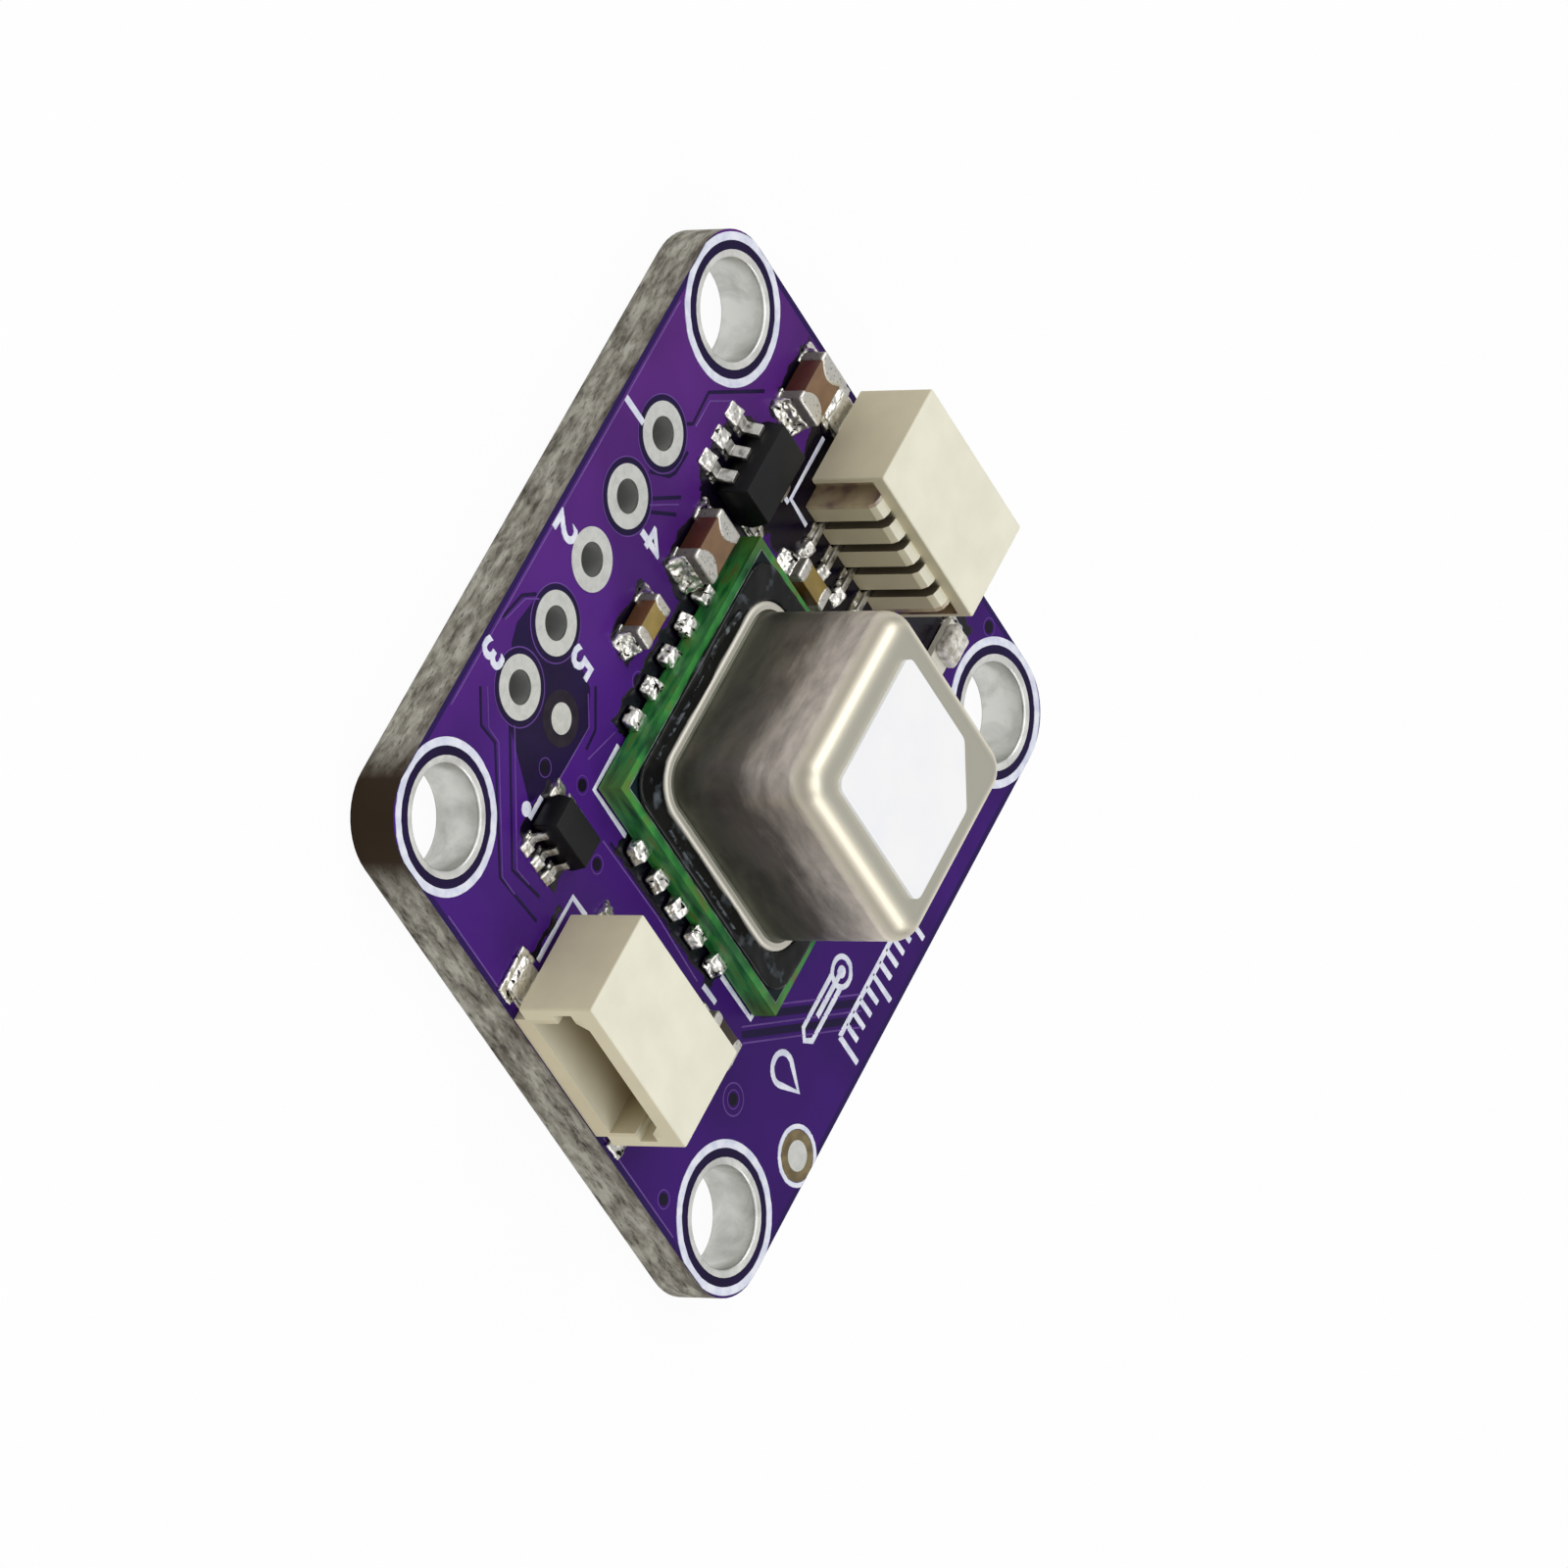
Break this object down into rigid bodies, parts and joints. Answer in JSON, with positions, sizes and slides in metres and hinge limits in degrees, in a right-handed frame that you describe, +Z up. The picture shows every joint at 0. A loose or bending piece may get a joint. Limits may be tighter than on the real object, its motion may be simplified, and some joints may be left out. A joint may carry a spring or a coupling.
{
  "type": "temperature humidity sensor module",
  "caption": "Small breakout board with a canned air sensor under a vent membrane, corner mounting holes, a header hole row and side-entry wire sockets.",
  "frame": {"origin": "centre of the circuit board's underside", "axes": "+X along the header hole row, with wire socket 1 facing +X and socket 2 facing -X; +Y from the header row to the far edge; +Z up out of the component side"},
  "size_m": [0.025, 0.0224, 0.0079],
  "materials": {
    "board_mask": "glossy purple mask over laminate",
    "tinned_copper": "tinned copper plating",
    "green_laminate": "green laminate",
    "solder": "bright solder",
    "black_epoxy": "glossy black sealant",
    "drawn_nickel_can": "satin nickel silver sheet",
    "white_membrane": "white vent membrane",
    "inner_metal": "plain metal cap",
    "chip_moulding": "dark grey moulding compound",
    "tinned_lead": "tinned lead metal",
    "ceramic_brown": "brown ceramic",
    "ceramic_tan": "tan ceramic",
    "lamp_carrier": "white carrier",
    "lamp_lens": "milky clear resin",
    "cream_nylon": "cream moulded nylon"
  },
  "bodies": {
    "root": {"circuit_board": "board_mask", "mounting_hole_plating": "tinned_copper", "header_hole_pads": "tinned_copper", "fiducial_pads": "tinned_copper", "sensor_substrate": "green_laminate", "sensor_solder_joints": "solder", "sensor_sealing_bead": "black_epoxy", "sensor_can": "drawn_nickel_can", "sensor_membrane": "white_membrane", "infrared_emitter": "inner_metal", "microphone_capsule": "inner_metal", "sensor_controller_chip": "chip_moulding", "humidity_temperature_chip": "chip_moulding", "regulator_body": "chip_moulding", "regulator_leads": "tinned_lead", "regulator_solder": "solder", "level_shifter_body": "chip_moulding", "level_shifter_leads": "tinned_lead", "level_shifter_solder": "solder", "capacitor_1_body": "ceramic_brown", "capacitor_1_terminals": "tinned_lead", "capacitor_1_solder": "solder", "capacitor_2_body": "ceramic_brown", "capacitor_2_terminals": "tinned_lead", "capacitor_2_solder": "solder", "capacitor_3_body": "ceramic_tan", "capacitor_3_terminals": "tinned_lead", "capacitor_3_solder": "solder", "capacitor_4_body": "ceramic_tan", "capacitor_4_terminals": "tinned_lead", "capacitor_4_solder": "solder", "indicator_lamp_base": "lamp_carrier", "indicator_lamp_lens": "lamp_lens", "indicator_lamp_solder": "solder", "socket_1_housing": "cream_nylon", "socket_1_contacts": "tinned_lead", "socket_1_hold_down_tabs": "tinned_lead", "socket_1_solder": "solder", "socket_2_housing": "cream_nylon", "socket_2_contacts": "tinned_lead", "socket_2_hold_down_tabs": "tinned_lead", "socket_2_solder": "solder"}
  },
  "joints": []
}
